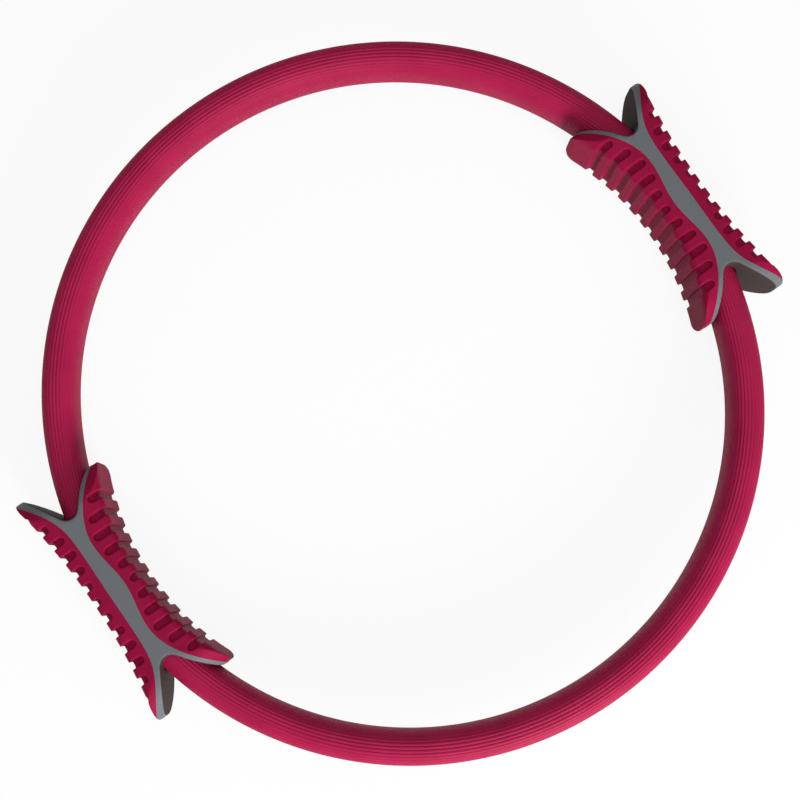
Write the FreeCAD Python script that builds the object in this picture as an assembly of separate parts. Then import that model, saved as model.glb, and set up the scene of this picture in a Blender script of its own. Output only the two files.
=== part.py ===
import FreeCAD, Part
import math
import os

# A pilates ring: a sprung hoop of two flat laminated bands in two foam
# sleeves, held between two double-sided grips. Millimetres. The ring lies
# flat: +Z is up, X runs through both grips, Z = 0 is the face it rests on.
# A grip is drawn in its own frame: u outwards from the hoop's centre line,
# v along the grip, z from the middle of its width.

# Hoop: an oval of four arcs, slightly shorter through the grips
side_radius = 176.9
grip_radius = 206.1
join_angle = 12.04

band_width = 22.0
band_thickness = 1.8
band_film = 0.2
band_end_gap = 6.0

sleeve_thickness = 18.7
sleeve_width = 31.0
sleeve_corner = 5.6
sleeve_bore_gap = 0.3
sleeve_end = 36.0

# Grip
grip_width = 50.0
waist_place = 28.0
notch_place = 42.5
notch_height = -0.8
swell_place = 44.0
inner_wing_length = 61.0
outer_wing_length = 66.5
inner_tip_corner = 19.0
outer_tip_corner = 21.0
outline_run_out = 1.0

# Heights of the grip's outlines at its middle, waist, swell and tips
inner_edge_middle = 6.0
inner_edge_waist = 3.0
inner_edge_swell = 9.0
inner_edge_tip = 25.4
outer_edge_middle = 3.8
outer_edge_waist = 4.1
outer_edge_swell = 6.8
outer_edge_tip = 22.4
inner_crown = 14.2
inner_flare = 14.8
outer_crown = 13.5
outer_flare = 8.3
flare_power = 2.2
inner_rim = 3.4
outer_rim = 3.6
inner_tip_rim = 2.8
outer_tip_rim = 4.2
rim_shares = (0.5, 0.12)

# Pads
crease_height = 23.5
pad_thickness = 4.0
pad_gap = 0.2
pad_tip_inset = 0.3
core_height = 18.6
core_root = 1.0
inner_core_end = 56.0
outer_core_end = 60.0

slot_pitch = 9.05
slot_width = 4.0
slot_depth = 1.9
face_slot_depth = 1.4
slot_end_ease = 1.3
inner_slots_each_side = 5
outer_slots_each_side = 6
inner_slot_middle = 9.2
inner_slot_waist = 5.6
inner_slot_swell = 13.6
outer_slot_middle = 10.0
outer_slot_waist = 6.4
outer_slot_swell = 11.0
outer_slot_last = 17.0

# Shells
seam_gap = 0.2
band_room_gap = 0.4
socket_gap = 0.45
socket_depth_gap = 1.0

# Two screws that close each grip through the bands
screw_place = 24.0
screw_radius = 2.0
screw_length = 17.0
screw_head_flats = 7.0
screw_head_height = 2.2
screw_depth = 0.4
screw_well_reach = 4.0
screw_gap = 0.1
screw_band_gap = 0.4

# Worked out from the sizes above
half_width = grip_width / 2
centre_gap = grip_radius - side_radius
grip_centre = centre_gap * math.cos(math.radians(join_angle))
side_centre = centre_gap * math.sin(math.radians(join_angle))
spine_place = grip_radius - grip_centre
band_stack = 2 * band_thickness + band_film
inner_end = inner_wing_length + outline_run_out
outer_end = outer_wing_length + outline_run_out
inner_last_slot = inner_slots_each_side * slot_pitch
outer_last_slot = outer_slots_each_side * slot_pitch
far = 2 * grip_width


def point(x, y, z=0.0):
    return FreeCAD.Vector(x, y, z)


upwards = point(0, 0, 1)
outwards = point(1, 0, 0)


# Curves: an outline is a list of stations (v, u) from the grip's middle to its tip

def mirrored(stations):
    return [(-v, u) for v, u in reversed(stations) if v > 0] + stations


def shifted(stations, step):
    return [(v, u + step) for v, u in stations]


def spline(stations, z=0.0):
    curve = Part.BSplineCurve()
    curve.interpolate([point(u, v, z) for v, u in stations])
    return curve


def u_at(stations, place):
    """Height of an outline at a place along the grip."""
    curve = spline(mirrored(stations))
    low = curve.FirstParameter
    high = curve.LastParameter
    for _ in range(40):
        middle = (low + high) / 2
        if curve.value(middle).y < place:
            low = middle
        else:
            high = middle
    return curve.value(low).x


def waved(sign, end, heights):
    places = (0, waist_place, swell_place, end)
    return [(v, sign * u) for v, u in zip(places, heights)]


def inner_edge():
    heights = (inner_edge_middle, inner_edge_waist, inner_edge_swell, inner_edge_tip)
    return waved(-1, inner_end, heights)


def outer_edge():
    heights = (outer_edge_middle, outer_edge_waist, outer_edge_swell, outer_edge_tip)
    return waved(1, outer_end, heights)


def flared(crown, flare, end, sign, count=4):
    """Stations of a pad's face from its middle to its tip."""
    shares = [step / count for step in range(count + 1)]
    return [(end * share, sign * (crown + flare * share ** flare_power)) for share in shares]


def inner_face():
    return flared(inner_crown, inner_flare, inner_end, -1)


def outer_face():
    return flared(outer_crown, outer_flare, outer_end, 1)


def inner_facets(stations):
    return faceted(stations, inner_slots_each_side)


def outer_facets(stations):
    return faceted(stations, outer_slots_each_side)


def faceted(stations, count):
    """An outline as flats that meet in the slots, so that each rib between slots is flat."""
    end = stations[-1][0]
    last = count * slot_pitch
    places = [step * slot_pitch for step in range(count + 1)]
    places.append((last + end) / 2)
    return [(v, u_at(stations, v)) for v in places] + [stations[-1]]


def raised(facets, edge, sign, count, end):
    """The core under a pad, whose ends run down into the shell below the pad's edge."""
    top = shifted(facets[:count + 1], -sign * pad_thickness)
    return top + [(end, u_at(edge, end) - sign * core_root)]


def inner_core():
    facets = inner_facets(inner_face())
    return raised(facets, inner_edge(), -1, inner_slots_each_side, inner_core_end)


def outer_core():
    facets = outer_facets(outer_face())
    return raised(facets, outer_edge(), 1, outer_slots_each_side, outer_core_end)


def rim():
    """The rim that faces the hoop, from the inner tip round the notch to the outer tip."""
    inner_side = rim_side(inner_edge(), inner_end, inner_rim, inner_tip_rim)
    outer_side = rim_side(outer_edge(), outer_end, -outer_rim, -outer_tip_rim)
    return inner_side + [(notch_place, notch_height)] + outer_side[::-1]


def rim_side(edge, end, width, tip_width):
    side = [(end, u_at(edge, end) + tip_width)]
    for share in rim_shares:
        v = notch_place + share * (end - notch_place)
        side.append((v, u_at(edge, v) + width))
    return side


# Outlines closed into faces and solids

def segment(start, end):
    return Part.LineSegment(start, end).toShape()


def prism(wire, height):
    """A closed outline drawn at the grip's middle, as thick as twice the height."""
    face = Part.Face(wire)
    face.translate(point(0, 0, -height))
    return face.extrude(point(0, 0, 2 * height))


def x_wire(inner, outer):
    """Closed outline of the X-shaped grip between an inner and an outer curve."""
    stations = rim()
    edges = []
    for curve in (inner, outer):
        corners = [point(u, v) for v, u in mirrored(curve)]
        edges += Part.makePolygon(corners).Edges
    for side in (1, -1):
        corners = [point(u, side * v) for v, u in stations]
        edges += [Part.Arc(*corners[start:start + 3]).toShape() for start in (0, 2, 4)]
        for curve, end in ((inner, stations[0]), (outer, stations[-1])):
            tip = point(curve[-1][1], side * curve[-1][0])
            edges.append(segment(tip, point(end[1], side * end[0])))
    return Part.Wire(Part.sortEdges(edges)[0])


def side_wire(stations, base, z=0.0):
    """Closed outline between a faceted curve and a straight base line."""
    full = mirrored(stations)
    corners = [point(u, v, z) for v, u in full]
    corners.append(point(base, full[-1][0], z))
    corners.append(point(base, full[0][0], z))
    return Part.makePolygon(corners + corners[:1])


def tongue(length, corner):
    """Plan of a pair of wings seen along u: a plate with rounded tips."""
    plate = Part.makeBox(2 * far, 2 * length, grip_width)
    plate.translate(point(-far, -length, -half_width))
    return plate.makeFillet(corner, [edge for edge in plate.Edges if edge.BoundBox.XLength > far])


# Hoop

def section(thickness, width, corner, radius):
    """Rectangle across the hoop, its middle at a radius along X, with eased corners."""
    turns = (0, 90) if corner > 0 else (0,)
    points = []
    for quarter, (across, up) in enumerate(((1, 1), (-1, 1), (-1, -1), (1, -1))):
        for turn in turns:
            angle = math.radians(90 * quarter + turn)
            x = radius + across * (thickness / 2 - corner) + corner * math.cos(angle)
            z = up * (width / 2 - corner) + corner * math.sin(angle)
            points.append(point(x, 0, z))
    return Part.Face(Part.makePolygon(points + points[:1]))


def turned(face, centre, start, end):
    """A section turned about an upright axis, from one angle to another."""
    face.rotate(point(0, 0), upwards, start)
    face.translate(centre)
    return face.revolve(centre, upwards, end - start)


def grip_arc(make_face, side, start, end):
    turn = 0 if side > 0 else 180
    return turned(make_face(grip_radius), point(-side * grip_centre, 0), turn + start, turn + end)


def side_arc(make_face, side):
    start = join_angle if side > 0 else 180 + join_angle
    end = start + 180 - 2 * join_angle
    return turned(make_face(side_radius), point(0, side * side_centre), start, end)


def angle_at(place):
    return math.degrees(math.asin(place / grip_radius))


def joined(solids):
    return solids[0].fuse(solids[1:]).removeSplitter()


def half_hoop(make_face, side, end):
    """The hoop on one side of X, from inside one grip to inside the other."""
    stop = angle_at(end)
    right = grip_arc(make_face, 1, side * stop, side * join_angle)
    left = grip_arc(make_face, -1, -side * join_angle, -side * stop)
    return joined([side_arc(make_face, side), right, left])


def sleeve_body(side, gap, end):
    def outside(radius):
        thickness = sleeve_thickness + 2 * gap
        return section(thickness, sleeve_width + 2 * gap, sleeve_corner + gap, radius)

    return half_hoop(outside, side, end)


def band_room(gap, radius):
    return section(band_stack + 2 * gap, band_width + 2 * gap, 0, radius)


def make_sleeve(side):
    def bore(radius):
        return band_room(sleeve_bore_gap, radius)

    return sleeve_body(side, 0, sleeve_end).cut(half_hoop(bore, side, sleeve_end))


def make_band(layer, gap_side):
    """One strip of the hoop; its ends meet inside the grip on gap_side."""
    offset = layer * (band_thickness + band_film) / 2

    def strip(radius):
        return section(band_thickness, band_width, 0, radius + offset)

    gap = angle_at(band_end_gap / 2)
    runs = [side_arc(strip, 1), side_arc(strip, -1)]
    runs.append(grip_arc(strip, -gap_side, -join_angle, join_angle))
    runs.append(grip_arc(strip, gap_side, gap, join_angle))
    runs.append(grip_arc(strip, gap_side, -join_angle, -gap))
    holes = [at_grip(make_screws(screw_band_gap), side) for side in (1, -1)]
    return joined(runs).cut(holes)


# Fasteners

def post(radius, low, high, v):
    """Round post along u."""
    return Part.makeCylinder(radius, high - low, point(low, v), outwards)


def hexagon(flats, low, high, v):
    """Six-sided head along u, measured across its flats."""
    radius = flats / math.sqrt(3)
    turns = [math.radians(60 * corner) for corner in range(7)]
    corners = [point(low, v + radius * math.sin(turn), radius * math.cos(turn)) for turn in turns]
    return Part.Face(Part.makePolygon(corners)).extrude(point(high - low, 0))


def screw_seat():
    return -inner_crown + pad_thickness + screw_depth


def make_screws(gap=0.0):
    """Two screws along u, with their heads let into the inner half."""
    seat = screw_seat()
    solids = []
    for v in (screw_place, -screw_place):
        head = hexagon(screw_head_flats + 2 * gap, seat - gap, seat + screw_head_height + gap, v)
        shank = post(screw_radius + gap, seat + screw_head_height / 2, seat + screw_length + gap, v)
        solids.append(head.fuse(shank))
    return Part.makeCompound(solids)


def screw_holes():
    """The screws' holes, open at the inner face so that the heads can go in."""
    seat = screw_seat()
    flats = screw_head_flats + 2 * screw_gap
    places = (screw_place, -screw_place)
    wells = [hexagon(flats, seat - screw_well_reach, seat + screw_gap, v) for v in places]
    return make_screws(screw_gap).fuse(wells)


# Grip

def at_grip(shape, side):
    """From the grip's own frame to its place on the hoop, at the hoop's height."""
    moved = shape.copy()
    moved.translate(point(spine_place, 0))
    if side < 0:
        moved.rotate(point(0, 0), upwards, 180)
    return moved


def core_wire(core, edge, sign):
    """Closed outline of the core that stands up from a shell, rooted below the pad's edge."""
    root = shifted(edge[:len(core) - 1], -sign * core_root)
    corners = mirrored(core) + mirrored(root)[::-1]
    points = [point(u, v) for v, u in corners]
    return Part.makePolygon(points + points[:1])


def grip_core():
    """The X-shaped body and the two cores that its pads sit on."""
    inner = inner_facets(inner_edge())
    outer = outer_facets(outer_edge())
    cores = [core_wire(inner_core(), inner, -1), core_wire(outer_core(), outer, 1)]
    body = prism(x_wire(inner, outer), half_width)
    return body.fuse([prism(wire, core_height) for wire in cores])


def seam_wall(offset):
    """Everything inside the hoop's centre line, moved outwards by an offset."""
    base = point(-grip_radius, 0, -far)
    return Part.makeCylinder(grip_radius + offset, 2 * far, base, upwards)


def hoop_room():
    """The hoop's path through a grip, in the grip's own frame."""
    def room(radius):
        return band_room(band_room_gap, radius)

    depth = sleeve_end - socket_depth_gap
    path = grip_arc(room, 1, -join_angle, join_angle)
    path = path.fuse([sleeve_body(side, socket_gap, depth) for side in (1, -1)])
    path.translate(point(-spine_place, 0))
    return path


def make_shells():
    """The two moulded halves of a grip, which close on the hoop."""
    core = grip_core().cut([hoop_room(), screw_holes()])
    inner = core.common(seam_wall(-seam_gap / 2)).common(tongue(inner_wing_length, inner_tip_corner))
    outer = core.cut(seam_wall(seam_gap / 2)).common(tongue(outer_wing_length, outer_tip_corner))
    return inner, outer


def pad_body(edge, face, sign, side_depth, face_depth):
    """Gently sloped sides and a flat face; the depths are how far in the slots' floor lies."""
    base = -sign * half_width / 2
    face = shifted(face, -sign * face_depth)
    crease = crease_height - side_depth / math.sqrt(2)
    body = prism(side_wire(face, base), crease)
    for end in (1, -1):
        side = side_wire(edge, base, end * (half_width - side_depth))
        body = body.fuse(Part.makeLoft([side, side_wire(face, base, end * crease)], True, True))
    return body


def slot(place, low, sign):
    """Room of one cross slot: open past the pad's face, with an eased low end."""
    side = slot_width / 2
    start = sign * low + slot_end_ease
    corners = [(far, -side), (start, -side), (start - slot_end_ease, slot_end_ease - side)]
    corners += [(u, -v) for u, v in reversed(corners)]
    points = [point(sign * u, place + v) for u, v in corners]
    return prism(Part.makePolygon(points + points[:1]), grip_width)


def slots(line, count, sign):
    places = [step * slot_pitch for step in range(-count, count + 1)]
    return [slot(place, u_at(line, abs(place)), sign) for place in places]


def make_pad(sign, edge, face, core, cuts, plan):
    """A soft pad with cross slots, closed over the shells' core."""
    pad = pad_body(edge, face, sign, 0, 0).cut(cuts)
    pad = pad.fuse(pad_body(edge, face, sign, slot_depth, face_slot_depth)).common(plan)
    seat = prism(side_wire(shifted(edge, sign * pad_gap), -sign * far), grip_width)
    room = prism(side_wire(shifted(core, sign * pad_gap), -sign * far), core_height + pad_gap)
    return pad.cut([seat, room])


def pad_plan(length, corner):
    return tongue(length - pad_tip_inset, corner - pad_tip_inset)


def make_inner_pad():
    line = [(0, -inner_slot_middle), (waist_place, -inner_slot_waist), (inner_last_slot, -inner_slot_swell)]
    cuts = slots(line, inner_slots_each_side, -1)
    edge = inner_facets(inner_edge())
    face = inner_facets(inner_face())
    return make_pad(-1, edge, face, inner_core(), cuts, pad_plan(inner_wing_length, inner_tip_corner))


def make_outer_pad():
    line = [(0, outer_slot_middle), (waist_place, outer_slot_waist)]
    line += [(outer_last_slot - slot_pitch, outer_slot_swell), (outer_last_slot, outer_slot_last)]
    cuts = slots(line, outer_slots_each_side, 1)
    edge = outer_facets(outer_edge())
    face = outer_facets(outer_face())
    return make_pad(1, edge, face, outer_core(), cuts, pad_plan(outer_wing_length, outer_tip_corner))


# Export

def solids_only(shape):
    solids = shape.Solids
    return solids[0] if len(solids) == 1 else Part.makeCompound(solids)


def save(name, shape):
    placed = solids_only(shape)
    placed.translate(point(0, 0, half_width))
    placed.exportStep("parts/" + name + ".step")
    state = "" if placed.isValid() else "not valid"
    print(name, len(placed.Solids), round(placed.Volume), state)


def build():
    os.makedirs("parts", exist_ok=True)
    save("hoop_band_inner", make_band(-1, 1))
    save("hoop_band_outer", make_band(1, -1))
    save("front_sleeve", make_sleeve(-1))
    save("rear_sleeve", make_sleeve(1))
    inner_shell, outer_shell = make_shells()
    pieces = {
        "inner_shell": inner_shell,
        "outer_shell": outer_shell,
        "inner_pad": make_inner_pad(),
        "outer_pad": make_outer_pad(),
        "shell_screws": make_screws(),
    }
    for prefix, side in (("left_", -1), ("right_", 1)):
        for name, shape in pieces.items():
            save(prefix + name, at_grip(shape, side))


build()
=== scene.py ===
import math

import bmesh
import bpy
import numpy as np
from mathutils import Matrix, Vector


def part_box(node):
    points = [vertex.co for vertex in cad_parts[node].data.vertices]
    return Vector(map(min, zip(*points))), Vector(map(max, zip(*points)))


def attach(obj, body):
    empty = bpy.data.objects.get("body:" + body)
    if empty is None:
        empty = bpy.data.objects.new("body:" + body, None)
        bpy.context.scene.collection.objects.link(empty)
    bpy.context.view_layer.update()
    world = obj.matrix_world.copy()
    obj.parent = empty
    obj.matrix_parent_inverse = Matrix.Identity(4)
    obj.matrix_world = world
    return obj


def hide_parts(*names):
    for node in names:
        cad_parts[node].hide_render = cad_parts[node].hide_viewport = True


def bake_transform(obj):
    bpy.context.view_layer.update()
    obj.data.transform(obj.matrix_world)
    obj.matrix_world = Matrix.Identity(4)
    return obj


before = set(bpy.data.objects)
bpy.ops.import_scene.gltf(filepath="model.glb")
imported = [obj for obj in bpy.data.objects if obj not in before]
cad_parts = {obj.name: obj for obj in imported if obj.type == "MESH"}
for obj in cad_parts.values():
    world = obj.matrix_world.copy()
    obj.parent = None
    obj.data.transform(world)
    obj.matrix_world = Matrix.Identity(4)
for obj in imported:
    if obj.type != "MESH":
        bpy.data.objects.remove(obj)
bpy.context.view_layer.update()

# Lengths are in millimetres until a mesh is made; a mesh is in metres.
MM = 0.001

# The hoop is an oval of four arcs, the same as the construction's
side_radius = 176.9
grip_radius = 206.1
join_angle = math.radians(12.04)
grip_centre = (grip_radius - side_radius) * math.cos(join_angle)
side_centre = (grip_radius - side_radius) * math.sin(join_angle)
spine_place = grip_radius - grip_centre

# Every height comes from the frame: the hoop's middle is half way up the grips
half_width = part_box("right_inner_shell")[1][2] / MM / 2

band_width = 22.0
band_thickness = 1.8
band_film = 0.2
band_end_gap = 6.0

sleeve_half_thickness = 9.35
sleeve_half_width = 15.5
sleeve_squareness = 2.6
sleeve_end = 36.0
rib_count = 44
rib_depth = 0.4
rib_profile = ((0.0, 1.0), (0.1, 0.45), (0.26, 0.12), (0.5, 0.0), (0.74, 0.12), (0.9, 0.45))

# The ribs are shallower on the face that looks into the ring, past this share of the half thickness
inner_face_ribs = 0.45
inner_face_share = 0.8

# Room around the sleeves and bands in a grip, and how far the socket is cut before the sleeve's end
socket_gap = 0.45
socket_lead = 1.0
socket_places = 30
band_room_gap = 0.4

# Outlines of a grip: stations (v, u) along it and outwards from the hoop's centre line
waist_place = 28.0
notch_place = 42.3
swell_place = 44.0
inner_wing_length = 62.0
outer_wing_length = 66.5
run_out = 1.0
inner_end = inner_wing_length + run_out
outer_end = outer_wing_length + run_out
inner_edge_heights = (-6.0, -3.5, -9.8, -25.4)
outer_edge_heights = (3.8, 3.8, 6.3, 22.4)
inner_crown = 14.2
inner_flare = 14.8
outer_crown = 13.5
outer_flare = 7.8
flare_power = 2.2
inner_rim = 3.4
outer_rim = 3.8
inner_tip_rim = 2.8
outer_tip_rim = 5.0
rim_shares = (0.5, 0.12)
notch_height = -1.8
inner_tip_corner = 18.5
outer_tip_corner = 20.0

# Heights across a pad, and its slots
crease_height = 23.5
crease_reach = 4.0
cap_reach = 9.0
nose_reach = 7.0
inner_nose_drop = 2.2
pad_thickness = 4.0
pad_gap = 0.05
pad_tip_inset = 0.3
pad_root = 1.0
core_height = 18.6
inner_core_end = 56.0
outer_core_end = 60.0
slot_pitch = 9.05
slot_width = 4.0
slot_depth = 2.3
face_slot_depth = 1.8
inner_slots_each_side = 5
outer_slots_each_side = 6
inner_slot_heights = (-9.2, -5.6, -13.6)
outer_slot_heights = (9.2, 6.2, 11.0, 17.0)
far = 100.0

# The seam between a grip's halves: how much wider than the hoop's own arc at the grip its cut is,
# and how far both halves reach over it until the grip is eased
seam_widening = 2.2
seam_overlap = 0.3

# How the moulded edges are eased: the size of the remeshed cells and the smoothing
body_cell = 0.55
body_ease = 6
grip_cell = 0.42
grip_ease = 5
kept_share = 0.35
sharp_angle = math.radians(50)

# Steps along curves and outlines
arc_steps = 12
rim_steps = 14
crease_steps = 6
side_steps = 96
edge_steps = 120
pad_steps = 160
hoop_steps_at_grip = 5
hoop_steps_round = 150
section_samples = 4000


# Curves

def natural_spline(stations):
    """A smooth function through (v, u) stations."""
    v, u = (np.array(column, float) for column in zip(*stations))
    step = np.diff(v)
    slope = np.diff(u) / step
    count = len(v)
    system = np.eye(count)
    right = np.zeros(count)
    for i in range(1, count - 1):
        system[i, i - 1:i + 2] = step[i - 1], 2 * (step[i - 1] + step[i]), step[i]
        right[i] = 6 * (slope[i] - slope[i - 1])
    bend = np.linalg.solve(system, right)

    def height(place):
        i = int(np.clip(np.searchsorted(v, place) - 1, 0, count - 2))
        h = step[i]
        before = (v[i + 1] - place) / h
        after = (place - v[i]) / h
        curve = (before ** 3 - before) * bend[i] + (after ** 3 - after) * bend[i + 1]
        return before * u[i] + after * u[i + 1] + curve * h * h / 6

    return height


def even(stations):
    """A smooth outline that is the same on both sides of the grip's middle."""
    mirrored = [(-v, u) for v, u in reversed(stations) if v > 0] + list(stations)
    return natural_spline(mirrored)


def waved(heights, end):
    return even(list(zip((0, waist_place, swell_place, end), heights)))


def slot_line(heights):
    """Height of the slots' low ends; the outer pad has one slot more on each side."""
    places = (0, waist_place, inner_slots_each_side * slot_pitch, outer_slots_each_side * slot_pitch)
    return even(list(zip(places, heights)))


def inner_face(v):
    """The inner pad's face flares out towards its tips and falls back a little at the nose."""
    nose = max(abs(v) - inner_end + nose_reach, 0) / nose_reach
    return inner_nose_drop * nose ** 2 - inner_crown - inner_flare * abs(v / inner_end) ** flare_power


def outer_face(v):
    return outer_crown + outer_flare * abs(v / outer_end) ** flare_power


inner_edge = waved(inner_edge_heights, inner_end)
outer_edge = waved(outer_edge_heights, outer_end)


def arc_through(first, middle, last, steps):
    """Points (u, v) on the circle through three points."""
    a, b, c = (np.array(p, float) for p in (first, middle, last))
    d = 2 * ((b[0] - a[0]) * (c[1] - a[1]) - (b[1] - a[1]) * (c[0] - a[0]))
    bb = (b - a) @ (b - a)
    cc = (c - a) @ (c - a)
    across = [(c[1] - a[1]) * bb - (b[1] - a[1]) * cc, (b[0] - a[0]) * cc - (c[0] - a[0]) * bb]
    centre = a + np.array(across) / d
    angles = [math.atan2(*(p - centre)[::-1]) for p in (a, b, c)]
    sweep = (angles[2] - angles[0]) % (2 * math.pi)
    if (angles[1] - angles[0]) % (2 * math.pi) > sweep:
        sweep -= 2 * math.pi
    radius = np.linalg.norm(a - centre)
    turns = [angles[0] + sweep * i / steps for i in range(steps + 1)]
    return [(centre[0] + radius * math.cos(t), centre[1] + radius * math.sin(t)) for t in turns]


def rim_side(edge, end, width, tip_width):
    """Points (u, v) of the rim on one side of the notch, from the tip inwards."""
    side = [(edge(end) + tip_width, end)]
    for share in rim_shares:
        v = notch_place + share * (end - notch_place)
        side.append((edge(v) + width, v))
    return side


def rim_points():
    """The rim that faces the hoop, as (u, v) from the inner tip round the notch to the outer tip."""
    inner_side = rim_side(inner_edge, inner_end, inner_rim, inner_tip_rim)
    outer_side = rim_side(outer_edge, outer_end, -outer_rim, -outer_tip_rim)
    corners = inner_side + [(notch_height, notch_place)] + outer_side[::-1]
    points = []
    for start in (0, 2, 4):
        points += arc_through(*corners[start:start + 3], rim_steps)[:-1]
    return points + [corners[-1]]


# Meshes

def new_object(name, mesh):
    piece = bpy.data.objects.new(name, mesh)
    bpy.context.scene.collection.objects.link(piece)
    return piece


def mesh_from(name, points, faces):
    mesh = bpy.data.meshes.new(name)
    mesh.from_pydata([tuple(c * MM for c in p) for p in points], [], faces)
    form = bmesh.new()
    form.from_mesh(mesh)
    bmesh.ops.recalc_face_normals(form, faces=form.faces)
    form.to_mesh(mesh)
    form.free()
    return mesh


def prism(name, outline, low, high):
    """A closed outline of (u, v) points made solid between two heights."""
    count = len(outline)
    points = [(u, v, z) for z in (low, high) for u, v in outline]
    faces = [(i, (i + 1) % count, count + (i + 1) % count, count + i) for i in range(count)]
    faces += [tuple(range(count)), tuple(range(2 * count - 1, count - 1, -1))]
    return new_object(name, mesh_from(name, points, faces))


def tube(name, rings, closed=False):
    """A skin over rings of points that all have the same count, with flat ends or joined up."""
    count = len(rings[0])
    points = [p for ring in rings for p in ring]
    spans = len(rings) if closed else len(rings) - 1
    faces = []
    for r in range(spans):
        here = r * count
        there = (r + 1) % len(rings) * count
        for i in range(count):
            after = (i + 1) % count
            faces.append((here + i, here + after, there + after, there + i))
    if not closed:
        last = (len(rings) - 1) * count
        faces += [tuple(range(count)), tuple(range(last + count - 1, last - 1, -1))]
    return new_object(name, mesh_from(name, points, faces))


def settle(piece):
    """Apply every modifier of a piece to its mesh."""
    bpy.context.view_layer.update()
    graph = bpy.context.evaluated_depsgraph_get()
    mesh = bpy.data.meshes.new_from_object(piece.evaluated_get(graph))
    old = piece.data
    piece.modifiers.clear()
    piece.data = mesh
    bpy.data.meshes.remove(old)
    return piece


def combine(piece, operation, *others):
    """Cut, join or intersect solids; the others are used up."""
    for other in others:
        step = piece.modifiers.new(operation, "BOOLEAN")
        step.operation = operation
        step.solver = "MANIFOLD"
        step.object = other
        settle(piece)
        mesh = other.data
        bpy.data.objects.remove(other)
        bpy.data.meshes.remove(mesh)
    return piece


def ease(piece, cell, passes):
    """Round a moulded piece's edges a little."""
    remesh = piece.modifiers.new("cells", "REMESH")
    remesh.mode = "VOXEL"
    remesh.voxel_size = cell * MM
    remesh.adaptivity = 0.0
    smooth = piece.modifiers.new("smooth", "SMOOTH")
    smooth.factor = 0.5
    smooth.iterations = passes
    settle(piece)
    for polygon in piece.data.polygons:
        polygon.use_smooth = True
    return piece


def thin(piece):
    """Fewer triangles where a surface is nearly flat."""
    step = piece.modifiers.new("thin", "DECIMATE")
    step.ratio = kept_share
    return settle(piece)


def tongue(name, length, corner):
    """Plan of a pair of wings seen along u: a plate with rounded tips."""
    outline = []
    for quarter, (along, up) in enumerate(((1, 1), (-1, 1), (-1, -1), (1, -1))):
        for i in range(arc_steps + 1):
            turn = math.pi / 2 * (quarter + i / arc_steps)
            v = along * (length - corner) + corner * math.cos(turn)
            z = up * (half_width - corner) + corner * math.sin(turn)
            outline.append((v, z))
    rings = [[(u, v, z) for v, z in outline] for u in (-far, far)]
    return tube(name, rings)


def spread(length, steps):
    """Even places from one end of a length to the other, with the middle at 0."""
    return [length * (2 * i / steps - 1) for i in range(steps + 1)]


def side_prism(name, curve, end, base, height):
    """Everything between a curve and a far base line, within a height."""
    outline = [(curve(v), v) for v in spread(end, side_steps)] + [(base, end), (base, -end)]
    return prism(name, outline, -height, height)


# Hoop

def hoop_run(side, end):
    """Places along one side of the hoop from the right grip to the left: (x, y, outward angle)."""
    stop = math.asin(end / grip_radius)
    run = []
    for i in range(hoop_steps_at_grip):
        angle = stop + (join_angle - stop) * i / hoop_steps_at_grip
        run.append((-grip_centre, 0, grip_radius, angle))
    for i in range(hoop_steps_round + 1):
        angle = join_angle + (math.pi - 2 * join_angle) * i / hoop_steps_round
        run.append((0, side_centre, side_radius, angle))
    for i in range(1, hoop_steps_at_grip + 1):
        angle = math.pi - join_angle + (join_angle - stop) * i / hoop_steps_at_grip
        run.append((grip_centre, 0, grip_radius, angle))
    return [(x, side * y, radius, side * angle) for x, y, radius, angle in run]


def ring_at(place, section):
    """A section of (outward, up) points stood across the hoop at a place on it."""
    x, y, radius, angle = place
    return [
        (x + (radius + out) * math.cos(angle), y + (radius + out) * math.sin(angle), half_width + up)
        for out, up in section
    ]


def sleeve_section(gap=0.0, profile=((0.0, 0.0), (0.5, 0.0))):
    """The sleeve's soft rectangle, with a rib's profile of (share along, depth) all the way round."""
    turns = np.linspace(0, 2 * math.pi, section_samples, endpoint=False)
    power = 2 / sleeve_squareness
    out = (sleeve_half_thickness + gap) * np.sign(np.cos(turns)) * np.abs(np.cos(turns)) ** power
    up = (sleeve_half_width + gap) * np.sign(np.sin(turns)) * np.abs(np.sin(turns)) ** power
    steps = np.hypot(np.diff(out, append=out[0]), np.diff(up, append=up[0]))
    along = np.concatenate([[0], np.cumsum(steps)[:-1]])
    pitch = steps.sum() / rib_count
    section = []
    for rib in range(rib_count):
        for share, depth in profile:
            at = pitch * (rib + share)
            u = float(np.interp(at, along, out))
            z = float(np.interp(at, along, up))
            fade = inner_face_ribs if u < -inner_face_share * sleeve_half_thickness else 1.0
            lean = math.hypot(u / sleeve_half_thickness ** 2, z / sleeve_half_width ** 2)
            inset = rib_depth * fade * depth / lean
            u -= inset * u / sleeve_half_thickness ** 2
            z -= inset * z / sleeve_half_width ** 2
            section.append((u, z))
    return section


def make_sleeve(side):
    name = "rear_foam" if side > 0 else "front_foam"
    section = sleeve_section(profile=rib_profile)
    piece = tube(name, [ring_at(place, section) for place in hoop_run(side, sleeve_end)])
    for polygon in piece.data.polygons:
        polygon.use_smooth = len(polygon.vertices) == 4
    return piece


def make_band(name, layer, gap_side):
    """One flat strip right round the hoop, its ends apart inside one grip."""
    offset = layer * (band_thickness + band_film) / 2
    section = [(offset + out * band_thickness / 2, up * band_width / 2) for out, up in
               ((-1, -1), (1, -1), (1, 1), (-1, 1))]
    gap = band_end_gap / 2
    if gap_side > 0:
        run = hoop_run(1, gap) + hoop_run(-1, gap)[::-1]
    else:
        run = hoop_run(1, gap)[::-1] + hoop_run(-1, gap)
    return tube(name, [ring_at(place, section) for place in run])


# Grip

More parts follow.
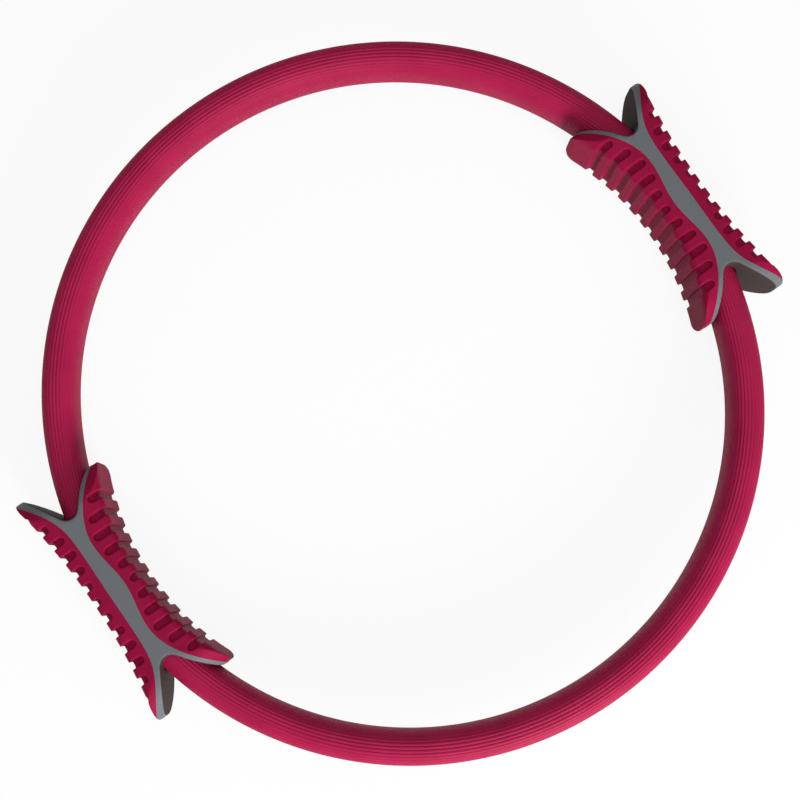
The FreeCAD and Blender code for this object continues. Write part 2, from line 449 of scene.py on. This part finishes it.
def x_prism(name, height):
    """The X-shaped body between the pads' edges."""
    rim = rim_points()
    outline = [(inner_edge(v), v) for v in spread(inner_end, edge_steps)]
    outline += rim
    outline += [(outer_edge(v), v) for v in reversed(spread(outer_end, edge_steps))]
    outline += [(u, -v) for u, v in reversed(rim)]
    return prism(name, outline, -height, height)


def room_in_grip(name, run, section):
    """A section swept along part of the hoop, in the grip's own frame."""
    rings = [ring_at(place, section) for place in run]
    rings = [[(x - spine_place, y, z - half_width) for x, y, z in ring] for ring in rings]
    return tube(name, rings)


def socket(side):
    """The sleeve's way into a grip."""
    run = hoop_run(side, sleeve_end - socket_lead)[:socket_places]
    return room_in_grip("socket", run, sleeve_section(socket_gap))


def band_room():
    """The bands' way through a grip."""
    out = band_thickness + band_film / 2 + band_room_gap
    up = band_width / 2 + band_room_gap
    section = [(-out, -up), (out, -up), (out, up), (-out, up)]
    angles = [join_angle * step / arc_steps for step in range(-arc_steps, arc_steps + 1)]
    run = [(-grip_centre, 0, grip_radius, angle) for angle in angles]
    return room_in_grip("band_room", run, section)


def rounded(start, corner, reach):
    """Points (u, z) of the soft crease where a pad's side, which comes from start, meets its face."""
    run = math.dist(start, corner)
    share = min(reach / run, 0.5) if run > 0 else 0.0
    near = [c + (s - c) * share for s, c in zip(start, corner)]
    far_side = [corner[0], corner[1] - reach]
    points = []
    for step in range(crease_steps + 1):
        t = step / crease_steps
        pull = list(zip(((1 - t) ** 2, 2 * t * (1 - t), t * t), (near, corner, far_side)))
        points.append([sum(weight * p[axis] for weight, p in pull) for axis in (0, 1)])
    return points


class Side:
    """One side of a grip: the wings and the pad that face in or out of the ring."""

    def __init__(self, sign):
        inner = sign < 0
        self.sign = sign
        self.edge = inner_edge if inner else outer_edge
        self.face = inner_face if inner else outer_face
        self.end = inner_end if inner else outer_end
        self.core_end = inner_core_end if inner else outer_core_end
        self.length = inner_wing_length if inner else outer_wing_length
        self.corner = inner_tip_corner if inner else outer_tip_corner
        self.slots = inner_slots_each_side if inner else outer_slots_each_side
        self.line = slot_line(inner_slot_heights if inner else outer_slot_heights)

    def core(self, v):
        return self.face(v) - self.sign * pad_thickness

    def plan(self, inset=0.0):
        return tongue("plan", self.length - inset, self.corner - inset)

    def half(self, overlap):
        """The space on this side of the seam, or a little past it."""
        turns = [join_angle * seam_widening * (2 * i / edge_steps - 1) for i in range(edge_steps + 1)]
        radius = grip_radius - self.sign * overlap
        line = [(radius * math.cos(a) - grip_radius, radius * math.sin(a)) for a in turns]
        base = self.sign * far
        return prism("half", line + [(base, line[-1][1]), (base, line[0][1])], -far, far)

    def wings(self):
        return combine(x_prism("wings", half_width), "INTERSECT", self.half(seam_overlap), self.plan())

    def pad_space(self, gap):
        """Where this side's pad is: beyond the shell's edge, and beyond its core in the middle."""
        past = self.sign * far
        space = side_prism("space", lambda v: self.edge(v) + self.sign * gap, self.end, past, far)
        core = side_prism(
            "core", lambda v: self.core(v) + self.sign * gap, self.core_end, -past, core_height + gap
        )
        return combine(space, "DIFFERENCE", core)

    def pad_body(self, side_depth, face_depth):
        """Gently sloped sides and a flat face; the depths are how far in the slots' floor lies."""
        base = -self.sign * half_width / 2
        crease = crease_height - side_depth / math.sqrt(2)
        top = half_width - side_depth
        rings = []
        for v in spread(self.end, pad_steps):
            cap = max(abs(v) - notch_place, 0) / (self.end - notch_place)
            corner = (self.face(v) - self.sign * face_depth, crease)
            half = [(base, top), (self.edge(v), top)]
            half += rounded(half[-1], corner, crease_reach + cap * cap_reach)
            ring = half + [(u, -z) for u, z in reversed(half)]
            rings.append([(u, v, z) for u, z in ring])
        return tube("pad", rings)

    def slot_cutter(self, place):
        """Room of one cross slot, round at its low end."""
        radius = slot_width / 2
        middle = self.line(place) + self.sign * radius
        turns = [math.pi / 2 + math.pi * i / arc_steps for i in range(arc_steps + 1)]
        outline = [(middle + self.sign * radius * math.cos(t), place + radius * math.sin(t)) for t in turns]
        outline += [(self.sign * far, place - radius), (self.sign * far, place + radius)]
        return prism("slot", outline, -2 * half_width, 2 * half_width)

    def pad(self):
        """The slotted pad, rooted a little way into the shell."""
        pad = self.pad_body(0, 0)
        for step in range(-self.slots, self.slots + 1):
            combine(pad, "DIFFERENCE", self.slot_cutter(step * slot_pitch))
        combine(pad, "UNION", self.pad_body(slot_depth, face_slot_depth))
        combine(pad, "INTERSECT", self.plan(pad_tip_inset))
        below = -self.sign * far
        root = side_prism("root", lambda v: self.edge(v) - self.sign * pad_root, self.end, below, far)
        return combine(pad, "DIFFERENCE", root)


def make_grip():
    """The whole grip is eased as one moulding and then parted into its four pieces."""
    sides = {"inner": Side(-1), "outer": Side(1)}
    grip = combine(sides["inner"].wings(), "UNION", sides["outer"].wings())
    combine(grip, "DIFFERENCE", socket(1), socket(-1))
    ease(grip, body_cell, body_ease)
    combine(grip, "UNION", sides["inner"].pad(), sides["outer"].pad())
    ease(grip, grip_cell, grip_ease)
    thin(grip)
    pieces = {}
    for name, side in sides.items():
        pad = new_object("pad", grip.data.copy())
        pieces[name + "_pad"] = combine(pad, "INTERSECT", side.pad_space(pad_gap))
        combine(grip, "DIFFERENCE", side.pad_space(0.0))
    combine(grip, "DIFFERENCE", band_room())
    for name, side in sides.items():
        shell = new_object("shell", grip.data.copy())
        pieces[name + "_shell"] = combine(shell, "INTERSECT", side.half(0.0))
        mark_wall_shade(shell, side.sign)
    bpy.data.objects.remove(grip)
    for piece in pieces.values():
        piece.data.set_sharp_from_angle(angle=sharp_angle)
    return pieces


def at_grip(piece, name, side):
    """A copy of a grip's piece, carried to the grip on one side."""
    copy = new_object(name, piece.data.copy())
    place = Matrix.Translation((spine_place * MM, 0, half_width * MM))
    if side < 0:
        place = Matrix.Rotation(math.pi, 4, "Z") @ place
    copy.data.transform(place)
    return copy


# Materials

# Specular level of each finish; a shell's walls that face the hoop are dull
foam_gloss = 0.09
rubber_gloss = 0.03
plastic_gloss = 0.08
wall_gloss = 0.005
hard_gloss = 0.5

# A shell's wall takes painted shade where its normal leans this far towards the hoop, and full painted
# shade past the fade.
# The seam itself stays light, and the notch's floor takes painted shade within its reach.
lip_turn = 0.35
lip_fade = 0.2
seam_margin = 0.3
notch_reach = 4.0

# Colours as sRGB levels: the plain one, and the darkest and lightest that its grain mixes
foam_colours = ((158, 24, 67), (154, 21, 64), (163, 26, 70))
rubber_colours = ((140, 17, 58), (136, 15, 56), (145, 19, 61))
plastic_colours = ((102, 105, 108), (98, 101, 104), (107, 110, 113))
glass_colours = ((200, 190, 160), (190, 180, 150), (206, 198, 170))
# Painted shade on the walls that face the hoop: the grey darkened, and browned by the sleeve's painted
# bounce light
shaded_wall_colour = (66, 58, 56)
steel_colour = (170, 170, 172)
paper_shade = 0.9

# Where a noise's dark tint ends and its light one begins
tint_range = (0.3, 0.7)


def node_material(name, base, roughness, gloss):
    material = bpy.data.materials.new(name)
    material.use_nodes = True
    shader = material.node_tree.nodes["Principled BSDF"]
    shader.inputs["Base Color"].default_value = (*base, 1)
    shader.inputs["Roughness"].default_value = roughness
    shader.inputs["Specular IOR Level"].default_value = gloss
    return material, material.node_tree, shader


def linear(red, green, blue):
    """An sRGB colour, 0 to 255, as the shader wants it."""
    levels = [c / 255 for c in (red, green, blue)]
    return tuple(((c + 0.055) / 1.055) ** 2.4 if c > 0.04045 else c / 12.92 for c in levels)


def add_noise(tree, scale, detail=3.0):
    place = tree.nodes.new("ShaderNodeTexCoord")
    noise = tree.nodes.new("ShaderNodeTexNoise")
    noise.inputs["Scale"].default_value = scale
    noise.inputs["Detail"].default_value = detail
    tree.links.new(place.outputs["Object"], noise.inputs["Vector"])
    return noise.outputs["Fac"]


def add_range(tree, value, low, high):
    spread_node = tree.nodes.new("ShaderNodeMapRange")
    spread_node.inputs["To Min"].default_value = low
    spread_node.inputs["To Max"].default_value = high
    tree.links.new(value, spread_node.inputs["Value"])
    return spread_node.outputs["Result"]


def tint(tree, shader, value, dark, light):
    ramp = tree.nodes.new("ShaderNodeValToRGB")
    for element, position, colour in zip(ramp.color_ramp.elements, tint_range, (dark, light)):
        element.position = position
        element.color = (*colour, 1)
    tree.links.new(value, ramp.inputs["Fac"])
    tree.links.new(ramp.outputs["Color"], shader.inputs["Base Color"])
    return ramp.outputs["Color"]


def bump(tree, shader, value, depth):
    node = tree.nodes.new("ShaderNodeBump")
    node.inputs["Strength"].default_value = 1.0
    node.inputs["Distance"].default_value = depth * MM
    tree.links.new(value, node.inputs["Height"])
    tree.links.new(node.outputs["Normal"], shader.inputs["Normal"])


def foam_material():
    plain, dark, light = (linear(*colour) for colour in foam_colours)
    material, tree, shader = node_material("foam", plain, 0.5, foam_gloss)
    tint(tree, shader, add_noise(tree, 60), dark, light)
    tree.links.new(add_range(tree, add_noise(tree, 300), 0.42, 0.55), shader.inputs["Roughness"])
    bump(tree, shader, add_noise(tree, 2500), 0.03)
    return material


def rubber_material():
    plain, dark, light = (linear(*colour) for colour in rubber_colours)
    material, tree, shader = node_material("pad_rubber", plain, 0.5, rubber_gloss)
    tint(tree, shader, add_noise(tree, 90), dark, light)
    tree.links.new(add_range(tree, add_noise(tree, 400), 0.45, 0.6), shader.inputs["Roughness"])
    bump(tree, shader, add_noise(tree, 3500), 0.02)
    return material


def plastic_material():
    """Grey plastic, with painted shade and the sleeve's painted brown bounce light on the walls that face
    the hoop, where it is also duller.
    """
    plain, dark, light = (linear(*colour) for colour in plastic_colours)
    material, tree, shader = node_material("grip_plastic", plain, 0.5, plastic_gloss)
    grain = tint(tree, shader, add_noise(tree, 1600), dark, light)
    # This attribute paints shade, browned by the sleeve's bounce light, on the walls that face the hoop and
    # in the notch
    wall_shade = tree.nodes.new("ShaderNodeAttribute")
    wall_shade.attribute_name = "wall_shade"
    mix = tree.nodes.new("ShaderNodeMix")
    mix.data_type = "RGBA"
    mix.inputs["B"].default_value = (*linear(*shaded_wall_colour), 1)
    tree.links.new(wall_shade.outputs["Fac"], mix.inputs["Factor"])
    tree.links.new(grain, mix.inputs["A"])
    tree.links.new(mix.outputs["Result"], shader.inputs["Base Color"])
    gloss = add_range(tree, wall_shade.outputs["Fac"], plastic_gloss, wall_gloss)
    tree.links.new(gloss, shader.inputs["Specular IOR Level"])
    bump(tree, shader, add_noise(tree, 3000), 0.03)
    return material


def mark_wall_shade(piece, sign):
    """How much painted shade each point of a shell takes, from 0 to 1, by how far it faces the hoop or
    looks out of the notch.
    """
    marks = piece.data.attributes.new("wall_shade", "FLOAT", "POINT")
    for vertex, mark in zip(piece.data.vertices, marks.data):
        u, v, _ = vertex.co / MM
        on_seam = abs(math.hypot(u + grip_radius, v) - grip_radius) < seam_margin
        turn = 0.0 if on_seam else -sign * vertex.normal.x
        # The notch's floor, a recess, takes painted shade too
        if abs(abs(v) - notch_place) < notch_reach and abs(u - notch_height) < notch_reach:
            turn = max(turn, math.copysign(1, v) * vertex.normal.y)
        mark.value = min(max((turn - lip_turn) / lip_fade, 0.0), 1.0)


def glass_fibre_material():
    plain, dark, light = (linear(*colour) for colour in glass_colours)
    material, tree, shader = node_material("glass_fibre", plain, 0.35, hard_gloss)
    tint(tree, shader, add_noise(tree, 500), dark, light)
    return material


def steel_material():
    material, tree, shader = node_material("steel", linear(*steel_colour), 0.35, hard_gloss)
    shader.inputs["Metallic"].default_value = 1.0
    tree.links.new(add_range(tree, add_noise(tree, 900), 0.25, 0.45), shader.inputs["Roughness"])
    return material


def finish(piece, material):
    """One material for a whole piece."""
    piece.data.materials.clear()
    piece.data.materials.append(material)


# The object

def make_hoop():
    foam = foam_material()
    glass = glass_fibre_material()
    for side, node in ((-1, "front_sleeve"), (1, "rear_sleeve")):
        piece = make_sleeve(side)
        finish(piece, foam)
        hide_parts(node)
        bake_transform(piece)
    for node, layer, gap_side in (("hoop_band_inner", -1, 1), ("hoop_band_outer", 1, -1)):
        piece = make_band(node.replace("hoop_", "spring_"), layer, gap_side)
        finish(piece, glass)
        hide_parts(node)
        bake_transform(piece)


def make_grips():
    rubber = rubber_material()
    plastic = plastic_material()
    parts = make_grip()
    for side, prefix, body in ((-1, "left_", "hoop"), (1, "right_", "right_grip")):
        for node, source in parts.items():
            name = node.replace("shell", "body").replace("pad", "cushion")
            piece = at_grip(source, prefix + name, side)
            if "pad" in node:
                finish(piece, rubber)
            else:
                finish(piece, plastic)
            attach(piece, body)
            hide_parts(prefix + node)
    for source in parts.values():
        bpy.data.objects.remove(source)


def finish_nodes():
    steel = steel_material()
    for prefix in ("left_", "right_"):
        node = bpy.data.objects[prefix + "shell_screws"]
        node.data.materials.clear()
        node.data.materials.append(steel)


# The setting

# How much of the floor is plain white where it is seen; the rest takes the object's shadow.
# What the floor throws back on the object has a duller shade, and its size is in metres.
floor_glow = 0.9
floor_bounce = 0.4
floor_reach = 3.0

world_strength = 0.32
key_light = dict(place=(-0.25, -1.5, 0.58), size=0.5, power=31)
top_light = dict(place=(0.0, -0.2, 1.6), size=0.7, power=7)


def seen_directly(tree):
    """1 for the rays that show the setting: to the eye, in reflections and through clear things."""
    path = tree.nodes.new("ShaderNodeLightPath")
    seen = path.outputs["Is Camera Ray"]
    for ray in ("Is Glossy Ray", "Is Transmission Ray"):
        step = tree.nodes.new("ShaderNodeMath")
        step.operation = "MAXIMUM"
        tree.links.new(seen, step.inputs[0])
        tree.links.new(path.outputs[ray], step.inputs[1])
        seen = step.outputs["Value"]
    return seen


def mix_shaders(tree, factor, first, second):
    """A mix of two shaders, by a number or by a socket."""
    mix = tree.nodes.new("ShaderNodeMixShader")
    if isinstance(factor, float):
        mix.inputs["Fac"].default_value = factor
    else:
        tree.links.new(factor, mix.inputs["Fac"])
    tree.links.new(first, mix.inputs[1])
    tree.links.new(second, mix.inputs[2])
    return mix.outputs["Shader"]


def make_floor():
    """White paper to the eye and in reflections, and a duller floor in what it throws back."""
    mesh = bpy.data.meshes.new("floor")
    corners = [(x * floor_reach, y * floor_reach, 0) for x, y in ((-1, -1), (1, -1), (1, 1), (-1, 1))]
    mesh.from_pydata(corners, [], [(0, 1, 2, 3)])
    floor = new_object("floor", mesh)
    material, tree, paper = node_material("paper", (paper_shade,) * 3, 0.9, foam_gloss)
    floor.data.materials.append(material)
    glow = tree.nodes.new("ShaderNodeEmission")
    dull = tree.nodes.new("ShaderNodeBsdfDiffuse")
    dull.inputs["Color"].default_value = (*(floor_bounce,) * 3, 1)
    white = mix_shaders(tree, floor_glow, paper.outputs["BSDF"], glow.outputs["Emission"])
    surface = mix_shaders(tree, seen_directly(tree), dull.outputs["BSDF"], white)
    tree.links.new(surface, tree.nodes["Material Output"].inputs["Surface"])


def make_world(strength):
    """White where it is seen, and a soft light of its own strength on everything."""
    world = bpy.data.worlds.new("studio")
    bpy.context.scene.world = world
    world.use_nodes = True
    tree = world.node_tree
    background = tree.nodes["Background"]
    background.inputs["Color"].default_value = (1, 1, 1, 1)
    tree.links.new(add_range(tree, seen_directly(tree), strength, 1.0), background.inputs["Strength"])


def add_softbox(name, place, size, power):
    data = bpy.data.lights.new(name, "AREA")
    data.shape = "SQUARE"
    data.size = size
    data.energy = power
    lamp = bpy.data.objects.new(name, data)
    bpy.context.scene.collection.objects.link(lamp)
    lamp.location = place
    lamp.rotation_euler = (-Vector(place)).to_track_quat("-Z", "Y").to_euler()


# The camera looks almost straight down; in the photograph the grips' line
# rises to the right by photo_turn.
photo_turn = math.radians(34.9)
camera_place = Vector((-62.1, -70.9, 819.4)) * MM
camera_target = Vector((-2.9, -0.9, 25.0)) * MM
camera_lens = 68.15


def make_camera():
    data = bpy.data.cameras.new("camera")
    data.lens = camera_lens
    data.sensor_width = 36
    camera = bpy.data.objects.new("camera", data)
    bpy.context.scene.collection.objects.link(camera)
    back = (camera_place - camera_target).normalized()
    up = Vector((math.sin(photo_turn), math.cos(photo_turn), 0))
    right = up.cross(back).normalized()
    up = back.cross(right)
    turn = Matrix((right, up, back)).transposed().to_4x4()
    camera.matrix_world = Matrix.Translation(camera_place) @ turn
    bpy.context.scene.camera = camera


make_hoop()
make_grips()
finish_nodes()
make_floor()
make_world(world_strength)
add_softbox("key", **key_light)
add_softbox("top", **top_light)
make_camera()
bpy.context.scene.view_settings.view_transform = "Standard"
